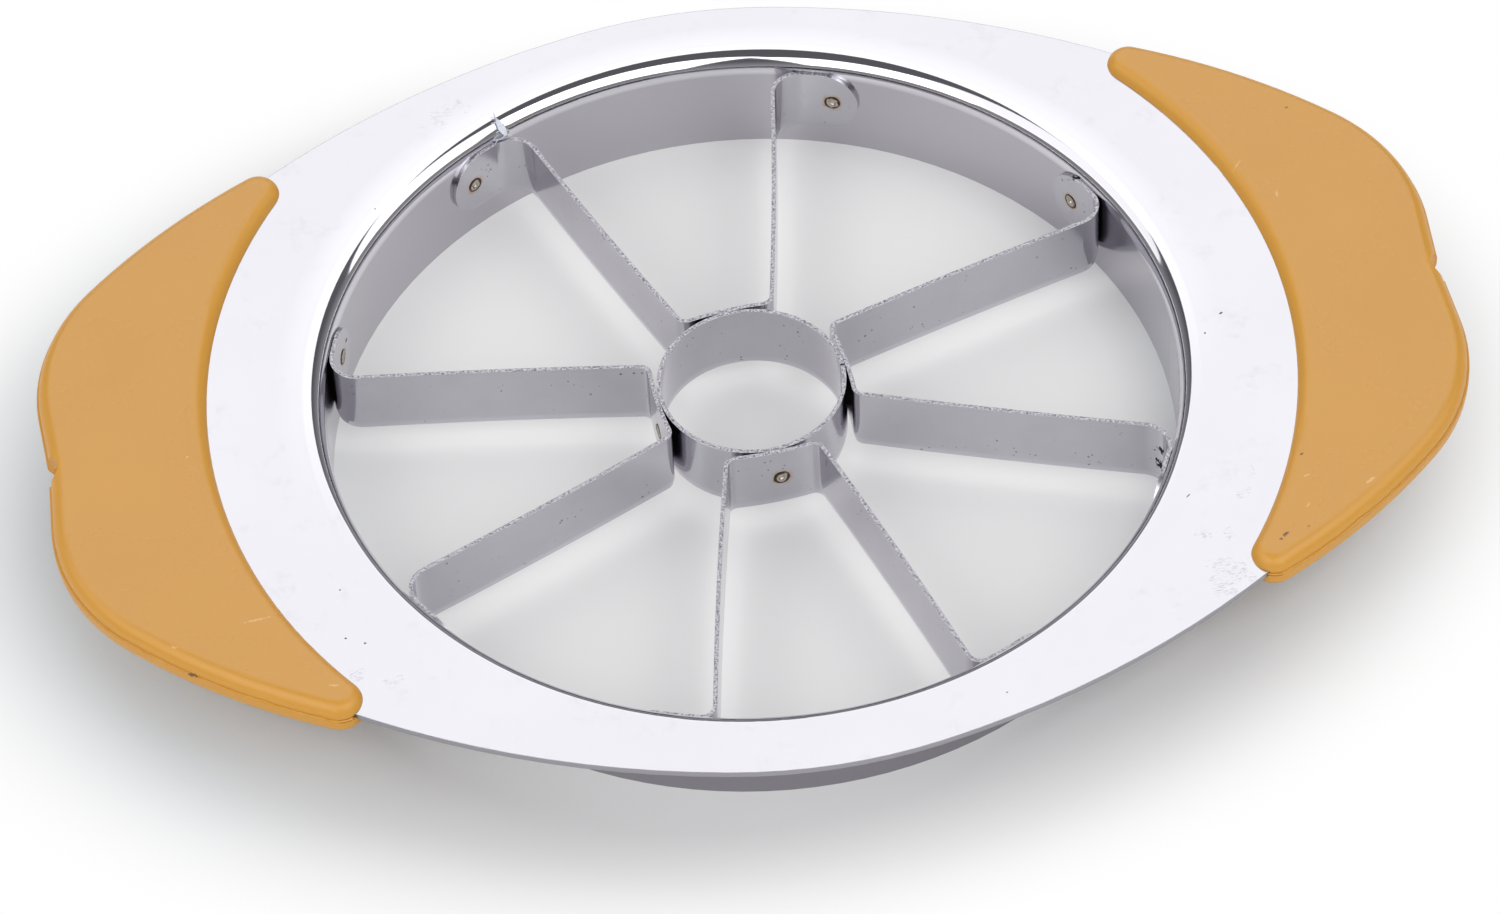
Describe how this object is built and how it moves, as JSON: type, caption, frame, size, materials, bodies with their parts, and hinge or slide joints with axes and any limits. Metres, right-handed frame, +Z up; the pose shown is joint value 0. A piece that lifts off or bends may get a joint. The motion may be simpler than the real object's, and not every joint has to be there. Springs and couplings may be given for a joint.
{
  "type": "apple corer and slicer",
  "caption": "Hand-pressed apple corer and slicer: a drawn steel plate with a round collar, bent blade strips welded round a core ring, and a moulded crescent grip on each end.",
  "frame": {"origin": "centre of the collar's bottom rim, the round edge that the tool stands on", "axes": "+X towards the right grip along the tool's length, +Y away from the user, +Z up out of the plate's top face"},
  "size_m": [0.1664, 0.118, 0.0158],
  "materials": {
    "frame_steel": "pale satin, polished on the drawn bend",
    "strip_steel": "grey rolled strip with bright ground edges",
    "weld_steel": "heat-tinted brown round the crater",
    "grip_plastic": "ochre, half gloss, smooth moulded"
  },
  "bodies": {
    "root": {"frame_plate": "frame_steel", "core_ring": "strip_steel", "blade_front": "strip_steel", "blade_right": "strip_steel", "blade_back": "strip_steel", "blade_left": "strip_steel", "spot_welds": "weld_steel", "grip_left": "grip_plastic", "grip_right": "grip_plastic"}
  },
  "joints": []
}
